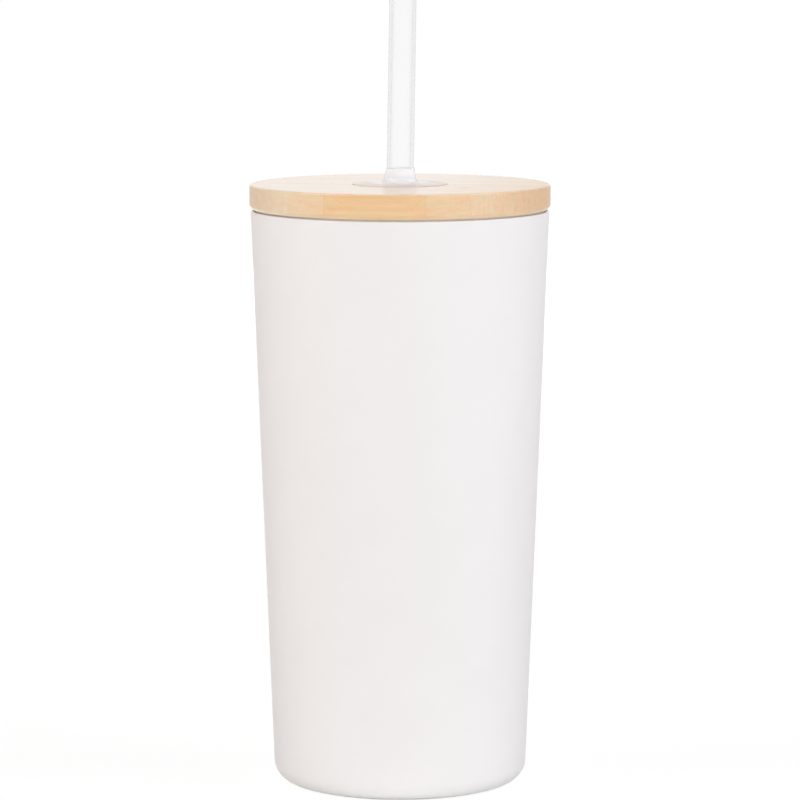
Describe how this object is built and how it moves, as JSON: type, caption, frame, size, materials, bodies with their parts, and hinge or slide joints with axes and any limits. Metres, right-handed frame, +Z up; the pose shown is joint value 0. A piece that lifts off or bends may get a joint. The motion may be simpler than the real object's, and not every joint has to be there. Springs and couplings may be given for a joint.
{
  "type": "travel tumbler",
  "caption": "Tapered double-wall steel tumbler with a flat bamboo lid and a clear straw in a soft grommet; the lid lifts off and turns, and the straw slides.",
  "frame": {"origin": "centre of the foot, on the table", "axes": "+Z up the cup's axis; -Y is the front, and the straw leans towards +X"},
  "size_m": [0.088, 0.088, 0.25],
  "materials": {
    "white_coat": "satin white powder coat",
    "bare_steel": "fine circular brushing",
    "solder_glass": "smooth fired bead",
    "getter": "pressed powder",
    "bamboo": "pale laminated bamboo, satin oil",
    "white_plastic": "moulded, fine satin",
    "silicone": "translucent milky silicone",
    "clear_plastic": "clear, polished"
  },
  "bodies": {
    "cup": {"outer_shell": "white_coat", "inner_liner": "bare_steel", "base_disc": "bare_steel", "port_bead": "solder_glass", "getter_tray": "bare_steel", "getter_pellet": "getter"},
    "seal": {"seal_ring": "silicone"},
    "lid": {"bamboo_lid": "bamboo", "lid_plug": "white_plastic", "straw_grommet": "silicone"},
    "straw": {"straw": "clear_plastic"}
  },
  "joints": [
    {"name": "lid_lift", "type": "slide", "parent": "cup", "child": "seal", "axis": [0, 0, 1], "range_m": [0, 0.18]},
    {"name": "lid_turn", "type": "hinge", "parent": "seal", "child": "lid", "pos_m": [0, 0, 0.17], "axis": [0, 0, 1], "continuous": true},
    {"name": "straw_slide", "type": "slide", "parent": "lid", "child": "straw", "axis": [0.0159, 0, 0.9999], "range_m": [0, 0.18]}
  ]
}
